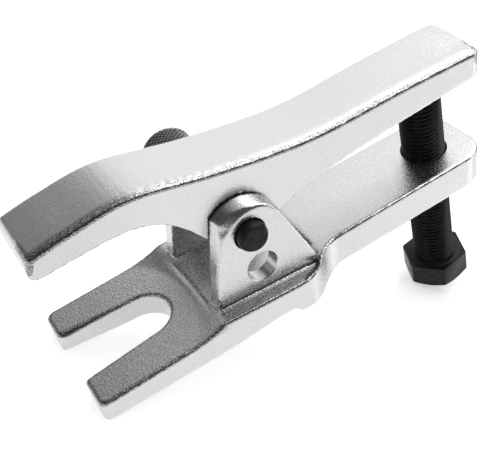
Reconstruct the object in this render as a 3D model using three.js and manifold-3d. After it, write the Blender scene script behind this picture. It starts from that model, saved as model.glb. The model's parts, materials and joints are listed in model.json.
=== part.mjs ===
// Ball joint separator: a forged fork body with two ears, a curved press lever that swings between
// them on a pull-out cross pin, and a forcing bolt that lifts the lever's tail.
// Millimetres, +Z up. The tool is drawn in its own frame first: X runs from the fork (-X) to the
// threaded tail (+X), Y along the cross pin, Z up from the fork's flat underside, with X = 0 and
// Y = 0 at the middle of the pin. At the end it is tilted to stand on its fork tips and bolt head.
import * as THREE from "three";
import { mergeVertices } from "three/addons/utils/BufferGeometryUtils.js";
import Module from "manifold-3d";

// ---------------------------------------------------------------- driving dimensions

const GAP = 0.3; // clearance between neighbouring pieces

// Fork body, plan view
const FORK_TIP_X = -54;
const FORK_HALF_WIDTH = 22.2;
const PRONG_CORNER = 2.5;
const SLOT_MOUTH_HALF = 10.7;
const SLOT_END_HALF = 8.4;
const SLOT_END_X = -31; // where the slot's round end starts
const TAIL_HALF_WIDTH = 14.6;
const TAIL_END_X = 88.3;
const TAIL_CORNER = 9;

// Fork body, side view
const TIP_THICKNESS = 5.2;
const FORK_ROOT_X = -19;
const FORK_ROOT_THICKNESS = 8.6;
const ARCH = { startX: -27, crownX: -6, rearX: 7.5, endX: 10, height: 2.9, footZ: 0.6 }; // under the ears
const CLEVIS_FRONT_X = -14.6;
const CLEVIS_FLOOR_Z = 11.3;
const CLEVIS_REAR_X = 20.8;
const TAIL_THICKNESS = 10.8;
const TAIL_SLOPE = Math.atan(0.08); // the tail plate climbs away from the ears
const TAIL_TOP_AT_PIN = 12.1; // height of the tail's top plane where X = 0

// Ears
const EAR_INNER_Y = 11.9;
const EAR_OUTER_Y = 17;
const EAR_CROWN = { x: 1.2, z: 30.6, radius: 11.7 };
const EAR_FOOT_FRONT_X = -13.9;
const EAR_FOOT_REAR_X = 21.2;

// Cross pin and its two positions
const PIN_HIGH_Z = 32.5;
const PIN_LOW = { x: 2, z: 19.6 };
const PIN_RADIUS = 4.5;
const PIN_NEAR_END_Y = -20.3;
const PIN_BORE_RADIUS = PIN_RADIUS + GAP;
const COLLAR_RADIUS = 6.2;
const COLLAR_Y = [EAR_OUTER_Y + GAP, EAR_OUTER_Y + 2.2];
const KNOB_RADIUS = 8.5;
const KNOB_Y = [COLLAR_Y[1] + GAP, 35.3];
const STEM_RADIUS = 3;

// Sprung ball that keeps the pin in place, under the pin's near end
const DETENT_Y = -18.7;
const DETENT_BALL_RADIUS = 1.2;
const DETENT_PROUD = 0.25;
const DETENT_BORE_RADIUS = DETENT_BALL_RADIUS + GAP;
const DETENT_BORE_TOP_Z = 1.6;

// Press lever
const LEVER_HALF_WIDTH = 11.45;
const LEVER_NOSE_X = -57.3;
const LEVER_END_X = 87.4;
const LEVER_END_CORNER = 4;
const HUB_RADIUS = 8.1;

// Forcing bolt, M14 x 1.5, along the normal of the tail plate
const BOLT_X = 73.4; // where its axis crosses the tail's top plane
const BOLT_RADIUS = 6.85; // thread crests
const BOLT_TIP_UP = 22.9; // tip above the tail's top plane
const BOLT_TIP_RADIUS = 5.4;
const HEAD_TOP_DOWN = 45.3; // head's bearing face below the tail's top plane
const HEAD_HEIGHT = 8.8;
const HEAD_ACROSS_FLATS = 20;
const HEAD_TURN = THREE.MathUtils.degToRad(38);
const HEAD_CHAMFER_RADIUS = 9.5; // of the flat disc left on the head's end
const THRUST_BALL_RADIUS = 3.2;
const THRUST_BALL_PROUD = 1.2;

// ---------------------------------------------------------------- finishes

const SATIN_CHROME = { color: 0xc9cac8, roughness: 0.35, metalness: 1 };
const BLACK_OXIDE = { color: 0x1c1c1d, roughness: 0.45, metalness: 0.8 };
const KNURLED_STEEL = { color: 0x4a4a4b, roughness: 0.5, metalness: 0.8 };
const BRIGHT_STEEL = { color: 0xb5b7b9, roughness: 0.2, metalness: 1 };

// ---------------------------------------------------------------- solids

const wasm = await Module();
wasm.setup();

// A closed three.js geometry as a manifold-3d solid.
function solid(geometry) {
  const bare = geometry.clone();
  bare.deleteAttribute("normal");
  bare.deleteAttribute("uv");
  const merged = mergeVertices(bare, 1e-4);
  return new wasm.Manifold(
    new wasm.Mesh({
      numProp: 3,
      vertProperties: merged.getAttribute("position").array,
      triVerts: new Uint32Array(merged.index.array),
    }),
  );
}

// A manifold-3d solid as a three.js geometry with flat-shaded facets.
function geometryOf(made) {
  const mesh = made.getMesh();
  const indexed = new THREE.BufferGeometry();
  indexed.setAttribute("position", new THREE.BufferAttribute(mesh.vertProperties, mesh.numProp));
  indexed.setIndex(new THREE.BufferAttribute(mesh.triVerts, 1));
  const flat = indexed.toNonIndexed();
  flat.computeVertexNormals();
  return flat;
}

function namedMesh(name, made, finish) {
  const mesh = new THREE.Mesh(geometryOf(made), new THREE.MeshStandardMaterial(finish));
  mesh.name = name;
  return mesh;
}

// An outline drawn in X and Z, pushed from y0 to y1.
function prismAlongY(shape, y0, y1, curveSegments = 12) {
  const geometry = new THREE.ExtrudeGeometry(shape, { depth: y1 - y0, bevelEnabled: false, curveSegments });
  geometry.rotateX(Math.PI / 2);
  geometry.translate(0, y1, 0);
  return solid(geometry);
}

// An outline drawn in X and Y, pushed from z0 to z1.
function prismAlongZ(shape, z0, z1, curveSegments = 12) {
  const geometry = new THREE.ExtrudeGeometry(shape, { depth: z1 - z0, bevelEnabled: false, curveSegments });
  geometry.translate(0, 0, z0);
  return solid(geometry);
}

function rodAlongY(radius, y0, y1, x, z, sides = 40) {
  const geometry = new THREE.CylinderGeometry(radius, radius, y1 - y0, sides);
  geometry.translate(x, (y0 + y1) / 2, z);
  return solid(geometry);
}

// Turned shapes: each profile point is [radius, distance along the axis], from one end to the other.
function turnedAlongY(profile, sides = 40) {
  const points = profile.map(([radius, along]) => new THREE.Vector2(radius, along));
  return solid(new THREE.LatheGeometry(points, sides));
}

function turnedAlongZ(profile, sides = 40) {
  const points = profile.map(([radius, along]) => new THREE.Vector2(radius, along));
  const geometry = new THREE.LatheGeometry(points, sides);
  geometry.rotateX(Math.PI / 2);
  return solid(geometry);
}

function ball(radius, x, y, z, sides = 20) {
  const geometry = new THREE.SphereGeometry(radius, sides, sides / 2);
  geometry.translate(x, y, z);
  return solid(geometry);
}

// ---------------------------------------------------------------- fork body

const tailTopZ = (x) => TAIL_TOP_AT_PIN + x * Math.tan(TAIL_SLOPE);

// One half of the plan outline, mirrored across the tool's middle plane.
function bodyPlan() {
  const half = new THREE.Path();
  half.moveTo(FORK_TIP_X, 0);
  half.lineTo(FORK_TIP_X, FORK_HALF_WIDTH - PRONG_CORNER);
  half.absarc(FORK_TIP_X + PRONG_CORNER, FORK_HALF_WIDTH - PRONG_CORNER, PRONG_CORNER, Math.PI, Math.PI / 2, true);
  // the ears' wide base narrows to the tail in an S
  half.lineTo(12, FORK_HALF_WIDTH);
  half.bezierCurveTo(20, FORK_HALF_WIDTH, 21, TAIL_HALF_WIDTH, 30, TAIL_HALF_WIDTH);
  half.lineTo(TAIL_END_X - TAIL_CORNER, TAIL_HALF_WIDTH);
  half.absarc(TAIL_END_X - TAIL_CORNER, TAIL_HALF_WIDTH - TAIL_CORNER, TAIL_CORNER, Math.PI / 2, 0, true);
  half.lineTo(TAIL_END_X, 0);
  const upper = half.getPoints(10);
  const inner = upper.slice(1, -1).reverse();
  const lower = inner.map((point) => new THREE.Vector2(point.x, -point.y));
  return new THREE.Shape([...upper, ...lower].reverse());
}

// Thin at the fork's tips, thick under the ears, then the inclined tail plate.
function bodySide() {
  const tailBottomZ = (x) => tailTopZ(x) - TAIL_THICKNESS / Math.cos(TAIL_SLOPE);
  const beyond = TAIL_END_X + 5;
  const side = new THREE.Shape();
  side.moveTo(FORK_TIP_X - 1, 0);
  side.lineTo(ARCH.startX, 0);
  side.lineTo(ARCH.crownX, ARCH.height);
  side.lineTo(ARCH.rearX, ARCH.height);
  side.lineTo(ARCH.endX, ARCH.footZ);
  side.lineTo(17, ARCH.footZ);
  side.quadraticCurveTo(23, ARCH.footZ, 28, tailBottomZ(28));
  side.lineTo(beyond, tailBottomZ(beyond));
  side.lineTo(beyond, tailTopZ(beyond));
  side.lineTo(CLEVIS_REAR_X + 1.2, tailTopZ(CLEVIS_REAR_X + 1.2));
  side.lineTo(CLEVIS_REAR_X, CLEVIS_FLOOR_Z);
  side.lineTo(CLEVIS_FRONT_X, CLEVIS_FLOOR_Z);
  side.quadraticCurveTo(CLEVIS_FRONT_X - 0.8, FORK_ROOT_THICKNESS + 0.2, FORK_ROOT_X, FORK_ROOT_THICKNESS);
  side.lineTo(FORK_TIP_X - 1, TIP_THICKNESS);
  return side;
}

function forkSlot() {
  const mouth = FORK_TIP_X - 3;
  const slot = new THREE.Shape();
  slot.moveTo(mouth, -SLOT_MOUTH_HALF);
  slot.lineTo(SLOT_END_X, -SLOT_END_HALF);
  slot.absarc(SLOT_END_X, 0, SLOT_END_HALF, -Math.PI / 2, Math.PI / 2, false);
  slot.lineTo(mouth, SLOT_MOUTH_HALF);
  return slot;
}

// A leaning trapezium with a round crown: its straight edges run tangent to the crown.
function earSide() {
  const foot = CLEVIS_FLOOR_Z - 5;
  const tangentAngle = (footX, side) => {
    const dx = footX - EAR_CROWN.x;
    const dz = CLEVIS_FLOOR_Z - EAR_CROWN.z;
    return Math.atan2(dz, dx) + side * Math.acos(EAR_CROWN.radius / Math.hypot(dx, dz));
  };
  const rear = tangentAngle(EAR_FOOT_REAR_X, 1);
  const front = tangentAngle(EAR_FOOT_FRONT_X, -1) + 2 * Math.PI;
  const ear = new THREE.Shape();
  ear.moveTo(EAR_FOOT_FRONT_X, foot);
  ear.lineTo(EAR_FOOT_REAR_X, foot);
  ear.lineTo(EAR_FOOT_REAR_X, CLEVIS_FLOOR_Z);
  ear.absarc(EAR_CROWN.x, EAR_CROWN.z, EAR_CROWN.radius, rear, front, false);
  ear.lineTo(EAR_FOOT_FRONT_X, CLEVIS_FLOOR_Z);
  return ear;
}

// The tail's tapped hole, with a chamfer at both ends. It is drawn along Z and then leaned.
function tailHole() {
  const radius = BOLT_RADIUS + GAP;
  const chamfer = 0.9;
  const below = -TAIL_THICKNESS;
  const profile = [
    [0, below - 4],
    [radius + 4 + chamfer, below - 4],
    [radius, below + chamfer],
    [radius, -chamfer],
    [radius + 4 + chamfer, 4],
    [0, 4],
  ];
  return turnedAlongZ(profile, 48)
    .rotate([0, -THREE.MathUtils.radToDeg(TAIL_SLOPE), 0])
    .translate([BOLT_X, 0, tailTopZ(BOLT_X)]);
}

function forkBody() {
  const blank = prismAlongZ(bodyPlan(), -5, 40).intersect(prismAlongY(bodySide(), -30, 30, 8));
  let body = blank.subtract(prismAlongZ(forkSlot(), -5, 20, 16));
  for (const side of [-1, 1]) {
    const [y0, y1] = side < 0 ? [-EAR_OUTER_Y, -EAR_INNER_Y] : [EAR_INNER_Y, EAR_OUTER_Y];
    body = body.add(prismAlongY(earSide(), y0, y1, 24));
  }
  const across = FORK_HALF_WIDTH + 5;
  return body
    .subtract(rodAlongY(PIN_BORE_RADIUS, -across, across, 0, PIN_HIGH_Z))
    .subtract(rodAlongY(PIN_BORE_RADIUS, -across, across, PIN_LOW.x, PIN_LOW.z))
    .subtract(tailHole());
}

// ---------------------------------------------------------------- press lever

// Side outline: the nose droops over the fork, the hub dips between the ears, the tail runs back
// over the forcing bolt. Heights are above the fork's underside.
function leverSide() {
  const point = (x, z) => new THREE.Vector2(x, z);
  const onHub = (degrees) => {
    const angle = THREE.MathUtils.degToRad(degrees);
    return [HUB_RADIUS * Math.cos(angle), PIN_HIGH_Z + HUB_RADIUS * Math.sin(angle)];
  };
  const hubFront = 219;
  const hubRear = 300;
  const lever = new THREE.Shape();
  lever.moveTo(LEVER_NOSE_X, 46.6);
  lever.quadraticCurveTo(LEVER_NOSE_X, 44, LEVER_NOSE_X + 2.6, 44);
  lever.splineThru([point(-45, 45.1), point(-33, 46.1), point(-25, 44.9), point(-19, 41.8), point(-14.5, 37.6)]);
  lever.lineTo(...onHub(hubFront));
  const [start, end] = [hubFront, hubRear].map(THREE.MathUtils.degToRad);
  lever.absarc(0, PIN_HIGH_Z, HUB_RADIUS, start, end, false);
  lever.lineTo(14, 31.25);
  lever.splineThru([point(24, 34.9), point(38, 37.8), point(55, 40.4), point(LEVER_END_X, 44.7)]);
  lever.lineTo(LEVER_END_X, 52.7);
  lever.splineThru([
    point(60, 51),
    point(31, 48.7),
    point(14, 49.3),
    point(-5, 51.3),
    point(-28, 54.9),
    point(-45, 52.9),
    point(LEVER_NOSE_X + 1.8, 50.2),
  ]);
  lever.lineTo(LEVER_NOSE_X + 0.9, 49.4);
  return lever;
}

function leverPlan() {
  const corner = LEVER_END_CORNER;
  const plan = new THREE.Shape();
  plan.moveTo(LEVER_NOSE_X - 1, -LEVER_HALF_WIDTH);
  plan.lineTo(LEVER_END_X - corner, -LEVER_HALF_WIDTH);
  plan.absarc(LEVER_END_X - corner, corner - LEVER_HALF_WIDTH, corner, -Math.PI / 2, 0, false);
  plan.absarc(LEVER_END_X - corner, LEVER_HALF_WIDTH - corner, corner, 0, Math.PI / 2, false);
  plan.lineTo(LEVER_NOSE_X - 1, LEVER_HALF_WIDTH);
  return plan;
}

function pressLever() {
  return prismAlongY(leverSide(), -20, 20, 6)
    .intersect(prismAlongZ(leverPlan(), 0, 80, 6))
    .subtract(rodAlongY(PIN_BORE_RADIUS, -30, 30, 0, PIN_HIGH_Z));
}

// ---------------------------------------------------------------- cross pin

// The pin's pieces are drawn about their own axis, Y.
function pivotPin() {
  const chamfer = 0.8;
  const stemEnd = KNOB_Y[1] - 2.5;
  const pin = turnedAlongY([
    [0, PIN_NEAR_END_Y],
    [PIN_RADIUS - chamfer, PIN_NEAR_END_Y],
    [PIN_RADIUS, PIN_NEAR_END_Y + 1.2],
    [PIN_RADIUS, COLLAR_Y[0]],
    [COLLAR_RADIUS, COLLAR_Y[0]],
    [COLLAR_RADIUS, COLLAR_Y[1]],
    [STEM_RADIUS, COLLAR_Y[1]],
    [STEM_RADIUS, stemEnd],
    [0, stemEnd],
  ]);
  const bore = turnedAlongZ(
    [
      [0, -PIN_RADIUS - 1],
      [DETENT_BORE_RADIUS, -PIN_RADIUS - 1],
      [DETENT_BORE_RADIUS, DETENT_BORE_TOP_Z],
      [0, DETENT_BORE_TOP_Z],
    ],
    20,
  );
  return pin.subtract(bore.translate([0, DETENT_Y, 0]));
}

function pinKnob() {
  const chamfer = 0.9;
  const [near, far] = KNOB_Y;
  const boreEnd = far - 2.5 + GAP;
  return turnedAlongY([
    [STEM_RADIUS + GAP, near],
    [KNOB_RADIUS - chamfer, near],
    [KNOB_RADIUS, near + chamfer],
    [KNOB_RADIUS, far - chamfer],
    [KNOB_RADIUS - chamfer, far],
    [0, far],
    [0, boreEnd],
    [STEM_RADIUS + GAP, boreEnd],
    [STEM_RADIUS + GAP, near],
  ]);
}

const DETENT_BALL_Z = -(PIN_RADIUS + DETENT_PROUD - DETENT_BALL_RADIUS);

class Helix extends THREE.Curve {
  constructor(radius, z0, z1, turns) {
    super();
    Object.assign(this, { radius, z0, z1, turns });
  }
  getPoint(t, target = new THREE.Vector3()) {
    const angle = 2 * Math.PI * this.turns * t;
    const z = this.z0 + (this.z1 - this.z0) * t;
    return target.set(this.radius * Math.cos(angle), this.radius * Math.sin(angle), z);
  }
}

function detentSpring() {
  const wireRadius = 0.16;
  const turns = 4;
  const route = new Helix(0.85, DETENT_BALL_Z + 1.45, DETENT_BORE_TOP_Z - GAP - wireRadius, turns);
  const section = new THREE.Shape();
  section.absarc(0, 0, wireRadius, 0, 2 * Math.PI, false);
  const wire = new THREE.ExtrudeGeometry(section, {
    steps: turns * 12,
    extrudePath: route,
    curveSegments: 6,
    bevelEnabled: false,
  });
  return solid(wire).translate([0, DETENT_Y, 0]);
}

// ---------------------------------------------------------------- forcing bolt

// Drawn along Z with Z = 0 on the tail plate's top plane.
const THRUST_BALL_Z = BOLT_TIP_UP + THRUST_BALL_PROUD - THRUST_BALL_RADIUS;

function forcingBolt() {
  const headEnd = -HEAD_TOP_DOWN - HEAD_HEIGHT;
  const cornerRadius = HEAD_ACROSS_FLATS / Math.sqrt(3);
  const tipChamfer = BOLT_RADIUS - BOLT_TIP_RADIUS;
  const hexagon = new THREE.CylinderGeometry(cornerRadius, cornerRadius, HEAD_HEIGHT, 6);
  hexagon.rotateX(Math.PI / 2);
  hexagon.rotateZ(HEAD_TURN);
  hexagon.translate(0, 0, headEnd + HEAD_HEIGHT / 2);
  // a cone trims the hexagon's corners at the end of the head
  const trim = turnedAlongZ([
    [0, headEnd],
    [HEAD_CHAMFER_RADIUS, headEnd],
    [cornerRadius + 1, headEnd + (cornerRadius + 1 - HEAD_CHAMFER_RADIUS) * Math.tan(Math.PI / 6)],
    [cornerRadius + 1, -HEAD_TOP_DOWN + 1],
    [0, -HEAD_TOP_DOWN + 1],
  ]);
  const shank = turnedAlongZ([
    [0, -HEAD_TOP_DOWN - 1],
    [BOLT_RADIUS, -HEAD_TOP_DOWN - 1],
    [BOLT_RADIUS, BOLT_TIP_UP - tipChamfer],
    [BOLT_TIP_RADIUS, BOLT_TIP_UP],
    [0, BOLT_TIP_UP],
  ]);
  const ballSeat = ball(THRUST_BALL_RADIUS + GAP, 0, 0, THRUST_BALL_Z);
  return solid(hexagon).intersect(trim).add(shank).subtract(ballSeat);
}

// ---------------------------------------------------------------- assembly

const tool = new THREE.Group();
tool.add(namedMesh("fork_body", forkBody(), SATIN_CHROME));
tool.add(namedMesh("press_lever", pressLever(), SATIN_CHROME));

const pinLine = new THREE.Group();
pinLine.position.set(0, 0, PIN_HIGH_Z);
pinLine.add(namedMesh("pivot_pin", pivotPin(), BLACK_OXIDE));
pinLine.add(namedMesh("pin_knob", pinKnob(), KNURLED_STEEL));
pinLine.add(namedMesh("detent_ball", ball(DETENT_BALL_RADIUS, 0, DETENT_Y, DETENT_BALL_Z, 16), BRIGHT_STEEL));
pinLine.add(namedMesh("detent_spring", detentSpring(), BRIGHT_STEEL));
tool.add(pinLine);

const boltLine = new THREE.Group();
boltLine.position.set(BOLT_X, 0, tailTopZ(BOLT_X));
boltLine.rotation.y = -TAIL_SLOPE;
boltLine.add(namedMesh("forcing_bolt", forcingBolt(), BLACK_OXIDE));
boltLine.add(namedMesh("thrust_ball", ball(THRUST_BALL_RADIUS, 0, 0, THRUST_BALL_Z), BRIGHT_STEEL));
tool.add(boltLine);

// At rest the tool stands on the undersides of its two prong tips and on the front of the bolt's
// head, so the line through those two places is laid level.
function restTilt() {
  const headEnd = HEAD_TOP_DOWN + HEAD_HEIGHT;
  const sine = Math.sin(TAIL_SLOPE);
  const cosine = Math.cos(TAIL_SLOPE);
  const headX = BOLT_X + headEnd * sine - HEAD_CHAMFER_RADIUS * cosine;
  const headZ = tailTopZ(BOLT_X) - headEnd * cosine - HEAD_CHAMFER_RADIUS * sine;
  return Math.atan2(-headZ, headX - FORK_TIP_X);
}

tool.rotation.y = -restTilt();
const bounds = new THREE.Box3().setFromObject(tool, true);
tool.position.set(-(bounds.min.x + bounds.max.x) / 2, -(bounds.min.y + bounds.max.y) / 2, -bounds.min.z);

const separator = new THREE.Group();
separator.add(tool);

export default separator;
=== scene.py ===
"""Ball joint separator: the looks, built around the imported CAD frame.

The tool is drawn in its own frame, in millimetres, as in the CAD source: X runs from the fork to the
threaded tail, Y along the cross pin, Z up from the height of the fork's underside in the CAD, and
X = Y = 0 at the pin. Each piece is then laid into the row frame, whose place and lean are read from
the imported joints.
"""

import json
import math

import bmesh
import bpy
import numpy as np
from mathutils import Matrix, Vector


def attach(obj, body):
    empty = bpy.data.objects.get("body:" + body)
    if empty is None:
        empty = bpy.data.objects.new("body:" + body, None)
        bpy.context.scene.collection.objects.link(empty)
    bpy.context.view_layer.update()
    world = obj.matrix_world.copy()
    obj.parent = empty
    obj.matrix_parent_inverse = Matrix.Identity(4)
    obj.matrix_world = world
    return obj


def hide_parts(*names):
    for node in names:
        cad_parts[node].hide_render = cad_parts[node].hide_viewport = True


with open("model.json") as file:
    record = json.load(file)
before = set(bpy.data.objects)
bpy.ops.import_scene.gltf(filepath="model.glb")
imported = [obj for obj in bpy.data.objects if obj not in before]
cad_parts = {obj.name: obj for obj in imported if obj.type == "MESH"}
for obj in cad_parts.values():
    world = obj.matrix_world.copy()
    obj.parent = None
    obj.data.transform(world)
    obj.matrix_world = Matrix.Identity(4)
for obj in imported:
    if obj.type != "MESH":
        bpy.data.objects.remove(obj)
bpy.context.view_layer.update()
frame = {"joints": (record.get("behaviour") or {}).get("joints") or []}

MM = 0.001
JOINTS = {joint["name"]: joint for joint in frame["joints"]}

# ---------------------------------------------------------------- driving dimensions, millimetres

# Fork body, seen from above
FORK_TIP_X = -54
FORK_HALF_WIDTH = 22.2
PRONG_CORNER = 2.5
SLOT_MOUTH_X = -60  # ahead of the tips, where the slot would be SLOT_MOUTH_HALF to each side
SLOT_MOUTH_HALF = 10.7
SLOT_END_HALF = 8.4
SLOT_END_X = -31
TAIL_HALF_WIDTH = 14.6
TAIL_END_X = 88.3
TAIL_CORNER = 9

# Fork body, seen from the side
FORK_ROOT_X = -19
FORK_TIP_TOP_Z = 5.2
FORK_ROOT_TOP_Z = 8.6
FORK_RISE = (FORK_ROOT_TOP_Z - FORK_TIP_TOP_Z) / (FORK_ROOT_X - FORK_TIP_X)
FORK_TIP_UNDER_Z = -1.7
FORK_ROOT_UNDER_Z = 0.4
ARCH_START_X = -17  # the underside's arch, under the ears
ARCH_CROWN_X = 3
ARCH_REAR_X = 7.5
ARCH_END_X = 10
ARCH_HEIGHT = 2.9
ARCH_FOOT_Z = 0.6
CLEVIS_FRONT_X = -14.4
STEP_ARC_X = -60.5  # centre of the arc at the foot of the step
STEP_ARC_RADIUS = 45
STEP_FILLET = 1.2
CLEVIS_FLOOR_Z = 11.3
CLEVIS_REAR_X = 20.8
RIM_Z = 11.6  # just above the clevis floor
TAIL_THICKNESS = 10.8
TAIL_SLOPE = math.atan(0.08)  # the tail climbs away from the ears
TAIL_TOP_AT_PIN = 12.1  # height of its top plane where X = 0

# Edges and fillets of the body
POCKET_FILLET = 0.9
TOP_EDGE = 0.7
STEP_EDGE = 0.6
PLAN_EDGE = 0.75
FORK_PLAN_EDGE = 1.05
SLOT_EDGE = 0.75
SLOT_TIP_EDGE = 2.25  # at the far prong's tip, where it is worn
EAR_INNER_FILLET = 1.1
EAR_OUTER_FILLET = 0.4
EAR_INNER_EDGE = 0.4
EAR_CHAMFER = 0.35
CROWN_CHAMFER = 1.65  # around the front of the crown
BORE_CHAMFER = 0.25

# Ears
EAR_INNER_Y = 11.9
EAR_OUTER_Y = 17
EAR_INNER_CROWN = (-0.3, 30.6, 11.9)  # centre X and Z, and radius, at the inner face
EAR_OUTER_CROWN = (0.8, 30.2, 10.5)  # the crown narrows towards the outer face
EAR_INNER_CREASE = 137  # degrees around the crown where the front face runs into it
EAR_OUTER_CREASE = 153
EAR_FOOT_FRONT_X = -13.6
EAR_FRONT = ((-12.6, 19), (-11.3, 26))  # points up its slightly hollow front
EAR_FOOT_REAR_X = 21.2
EAR_ROOT = 5  # how far the ears' outline runs down into the body

# Cross pin
PIN_HIGH_Z = 32.5
PIN_LOW_X = 2
PIN_LOW_Z = 19.6
PIN_RADIUS = 4.5
BORE_RADIUS = 4.75
PIN_NEAR_END_Y = -20.3
COLLAR_RADIUS = 6.2
COLLAR_Y = (17.3, 19.2)
STEM_RADIUS = 3
STEM_END_Y = 32.8
KNOB_RADIUS = 8.8
KNOB_Y = (19.5, 35.3)
DETENT_Y = -18.7
DETENT_RADIUS = 1.2
DETENT_BORE_RADIUS = 1.3
DETENT_BORE_TOP_Z = 1.6
DETENT_BALL_Z = -3.55

# Press lever
LEVER_HALF_WIDTH = 11.45
LEVER_NOSE_X = -57.3
LEVER_END_X = 87.4
LEVER_END_CORNER = 3.4
LEVER_NOSE_Z = 44  # underside of the nose
LEVER_TAIL_Z = (44.7, 53.1)  # underside and top at the end
LEVER_HIGHEST_Z = 56
LEVER_BORE_CHAMFER = 0.5
HUB_RADIUS = 8.1

# Forcing bolt, M14 x 1.5; Z = 0 where its axis crosses the tail's top plane
BOLT_X = 73.4
THREAD_PITCH = 1.5
CREST_RADIUS = 7.0
ROOT_RADIUS = 6.2
TAPPED_RADIUS = 7.15
BOLT_TIP_Z = 22.9
HEAD_BEARING_Z = -45.3
HEAD_HEIGHT = 8.8
HEAD_ACROSS_FLATS = 20
HEAD_TURN = math.radians(38)
HEAD_FACE_RADIUS = 9.5  # of the flat disc left on the head's end
HEAD_EDGE = 0.3
HEAD_CORNER_BEVEL = 0.35
WASHER_RADIUS = 9.4
WASHER_HEIGHT = 0.15
THRUST_BALL_RADIUS = 3.2
THRUST_BALL_Z = 20.9

# How the pieces are drawn
FORGING_STEP = 0.45  # spacing of the grid that the forgings are drawn on
GRID_MARGIN = 2  # room around a forging in its grid
SPARE = 8  # how far an outline runs on past the solid that it shapes
CUTTER_REACH = 60  # how far a cutter along Y reaches to each side
WELD = 1e-4  # points closer than this are one point after a cut
ROUND_SIDES = 96  # sides of a turned solid

# ---------------------------------------------------------------- frames


def axes_to_matrix(x, y, z, origin):
    """A frame's matrix from its axes and origin, with millimetres taken to metres."""
    turn = Matrix((x, y, z)).transposed().to_4x4()
    return Matrix.Translation(origin) @ turn @ Matrix.Scale(MM, 4)


def tool_frame():
    up = Vector(JOINTS["detent_press"]["axis"]).normalized()
    across = Vector((0, 1, 0))
    origin = Vector(JOINTS["lever_tilt"]["pos_m"]) - up * PIN_HIGH_Z * MM
    return axes_to_matrix(across.cross(up), across, up, origin)


def bolt_frame():
    up = Vector(JOINTS["bolt_turn"]["axis"]).normalized()
    across = Vector((0, 1, 0))
    return axes_to_matrix(across.cross(up), across, up, Vector(JOINTS["bolt_turn"]["pos_m"]))


TOOL = tool_frame()
PIN = TOOL @ Matrix.Translation((0, 0, PIN_HIGH_Z))
BOLT = bolt_frame()


# ---------------------------------------------------------------- outlines


def arc(centre_x, centre_y, radius, start, end, steps):
    """Points of an arc, from start to end in degrees, both included."""
    angles = np.radians(np.linspace(start, end, steps + 1))
    return [(centre_x + radius * math.cos(a), centre_y + radius * math.sin(a)) for a in angles]


def bezier(points, steps=16):
    """Points of a Bezier curve of any degree, both ends included."""
    route = []
    for t in np.linspace(0, 1, steps + 1):
        level = [np.array(point, float) for point in points]
        while len(level) > 1:
            level = [a * (1 - t) + b * t for a, b in zip(level, level[1:])]
        route.append(tuple(level[0]))
    return route


def spline(points, steps=8):
    """Points of a smooth curve through all the points given (uniform Catmull-Rom)."""
    knots = [np.array(point, float) for point in points]
    knots = [knots[0]] + knots + [knots[-1]]
    route = [tuple(knots[1])]
    for a, b, c, d in zip(knots, knots[1:], knots[2:], knots[3:]):
        for t in np.linspace(0, 1, steps + 1)[1:]:
            bend = (2 * a - 5 * b + 4 * c - d) * t + (3 * b - a - 3 * c + d) * t * t
            route.append(tuple(0.5 * (2 * b + (c - a) * t + bend * t)))
    return route


def tail_top(x):
    return TAIL_TOP_AT_PIN + x * math.tan(TAIL_SLOPE)


def tail_bottom(x):
    return tail_top(x) - TAIL_THICKNESS / math.cos(TAIL_SLOPE)


def body_plan():
    """The body seen from above: one half, and its mirror image across the middle plane."""
    corner = PRONG_CORNER
    half = arc(FORK_TIP_X + corner, FORK_HALF_WIDTH - corner, corner, 180, 90, 6)
    half += bezier([(12, FORK_HALF_WIDTH), (20, FORK_HALF_WIDTH),
                    (21, TAIL_HALF_WIDTH), (30, TAIL_HALF_WIDTH)])
    corner = TAIL_CORNER
    half += arc(TAIL_END_X - corner, TAIL_HALF_WIDTH - corner, corner, 90, 0, 12)
    return half + [(x, -y) for x, y in reversed(half)]


def body_side():
    """Its top is the tail's plane, run down to the ledge beside the ears; the fork is cut from it."""
    beyond = TAIL_END_X + SPARE
    before = FORK_TIP_X - SPARE
    side = [(before, FORK_TIP_UNDER_Z), (FORK_TIP_X, FORK_TIP_UNDER_Z)]
    side += [(ARCH_START_X, FORK_ROOT_UNDER_Z), (ARCH_CROWN_X, ARCH_HEIGHT)]
    side += [(ARCH_REAR_X, ARCH_HEIGHT), (ARCH_END_X, ARCH_FOOT_Z)]
    side += bezier([(17, ARCH_FOOT_Z), (23, ARCH_FOOT_Z), (28, tail_bottom(28))], 8)
    side += [(beyond, tail_bottom(beyond)), (beyond, tail_top(beyond))]
    side += bezier([(23, tail_top(23)), (19.5, tail_top(19.5)), (18.5, RIM_Z), (14, RIM_Z)], 8)
    side += [(before, RIM_Z)]
    return side


def pocket_plan():
    """The floor between and beside the ears, seen from above: its rear corners are round."""
    ahead = FORK_TIP_X - SPARE
    outside = FORK_HALF_WIDTH + SPARE
    corner = spline([(9.5, 25), (13.5, 21.3), (17.4, 19.9), (19.6, 17.8), (20.6, 15.5),
                     (CLEVIS_REAR_X, 12.5)])
    half = [(ahead, outside), (7, outside), *corner]
    return half + [(x, -y) for x, y in reversed(half)]


def fork_slot():
    end = arc(SLOT_END_X, 0, SLOT_END_HALF, -90, 90, 24)
    return [(SLOT_MOUTH_X, -SLOT_MOUTH_HALF), *end, (SLOT_MOUTH_X, SLOT_MOUTH_HALF)]


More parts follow.
